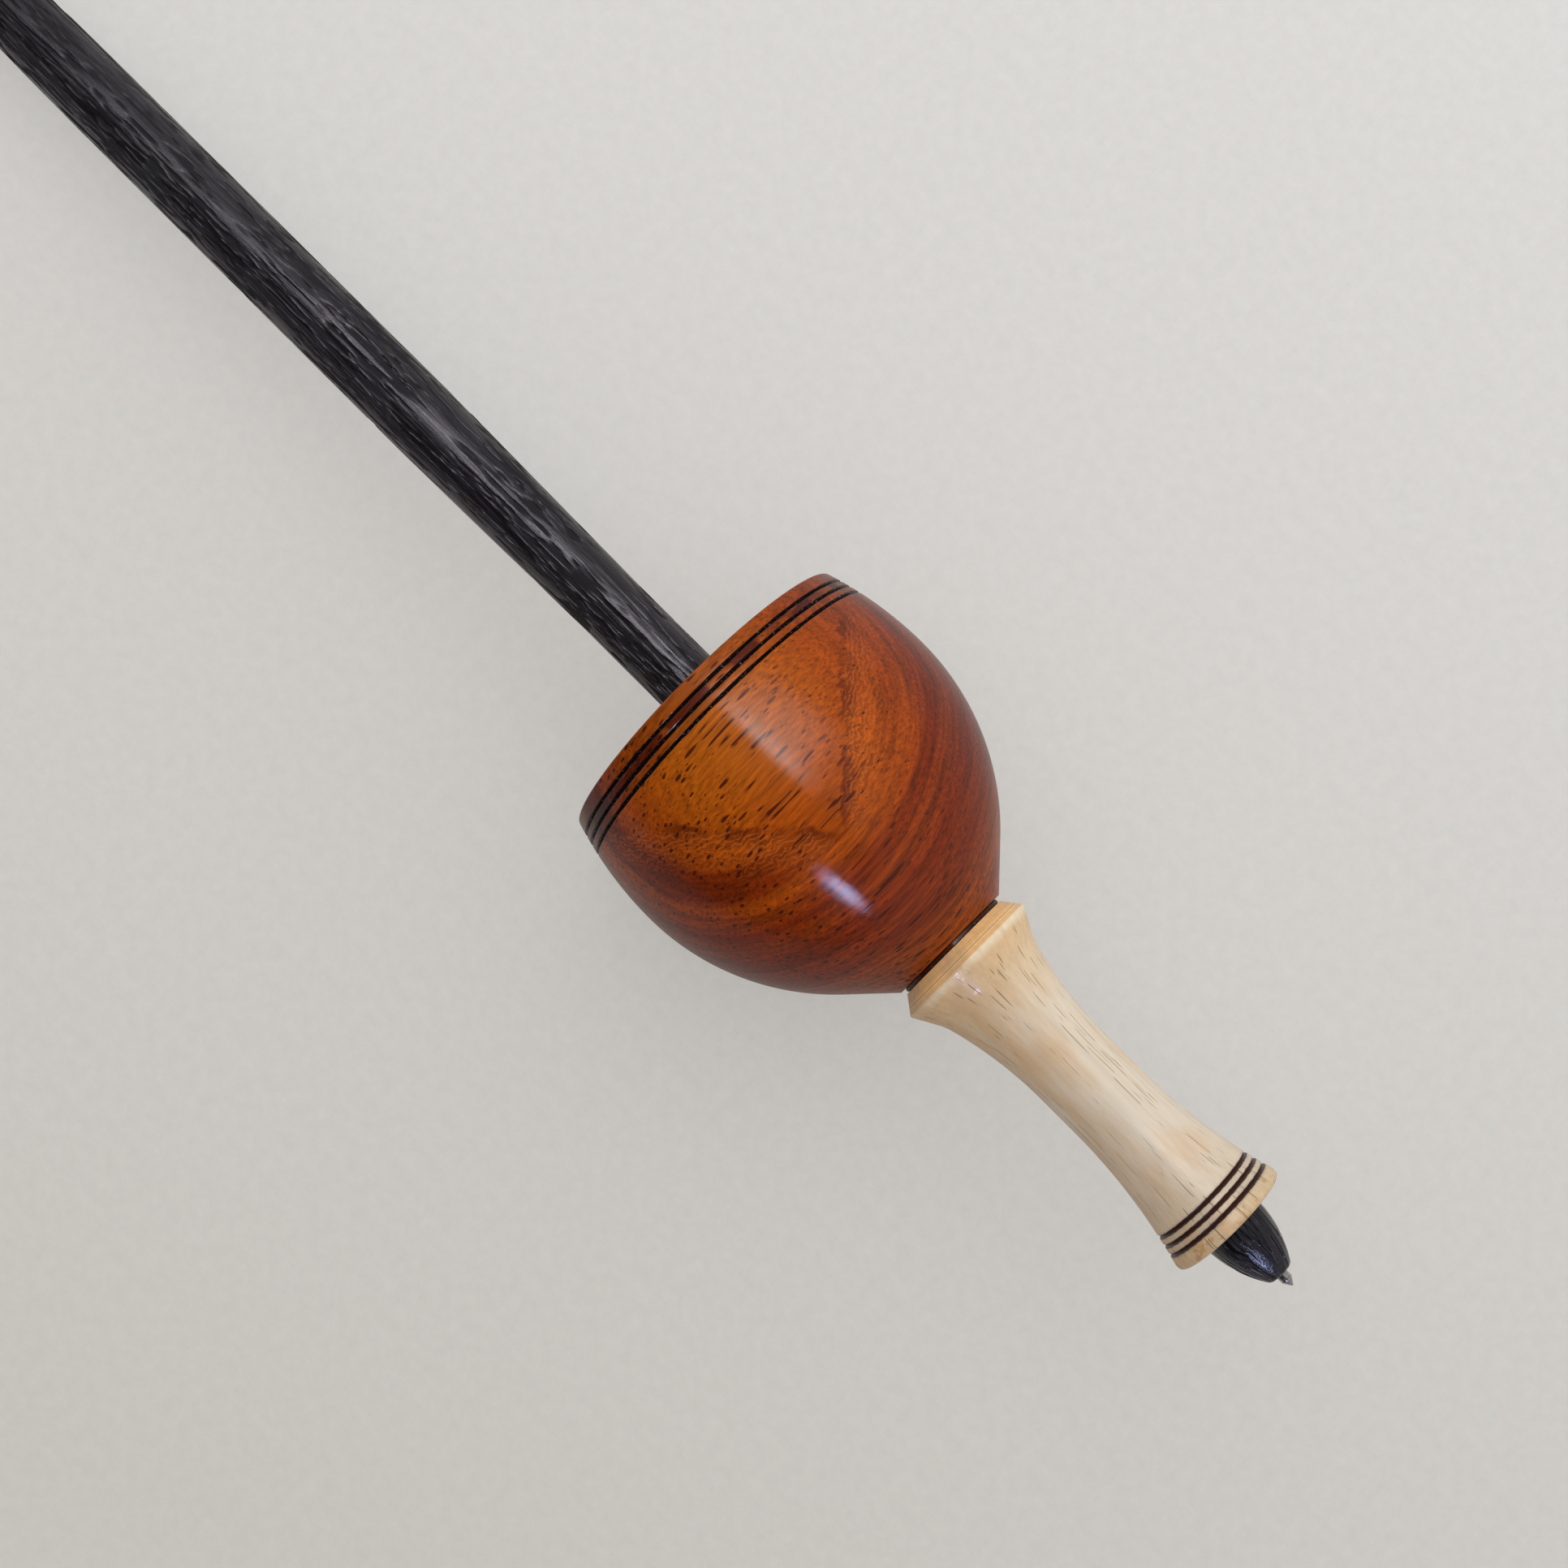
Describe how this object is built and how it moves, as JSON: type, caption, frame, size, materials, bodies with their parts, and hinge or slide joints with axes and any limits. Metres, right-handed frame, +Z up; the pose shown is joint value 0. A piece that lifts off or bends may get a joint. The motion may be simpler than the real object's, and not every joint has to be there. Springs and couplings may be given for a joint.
{
  "type": "hand spindle",
  "caption": "Supported hand spindle for spinning yarn: slim dark shaft, bowl-shaped turned whorl, waisted pale neck and a steel point that turns in a bowl.",
  "frame": {"origin": "on the table, under the middle of the spindle as it lies there", "axes": "+Z up from the table. +X from the steel point towards the shaft's far end. The spin axis lies in the XZ plane, tilted 6.01 degrees about Y so that the point is raised, because the spindle rests on its whorl and on the far end of its shaft. Y is across it."},
  "size_m": [0.3122, 0.05, 0.0502],
  "materials": {
    "black_wood": "open-grained wood dyed black, oiled",
    "whorl_wood": "orange-brown hardwood with dark pores, polished",
    "pale_wood": "pale fine-grained hardwood, satin polish",
    "steel": "ground and polished"
  },
  "bodies": {
    "root": {"shaft": "black_wood", "whorl": "whorl_wood", "neck": "pale_wood", "steel_point": "steel"}
  },
  "joints": []
}
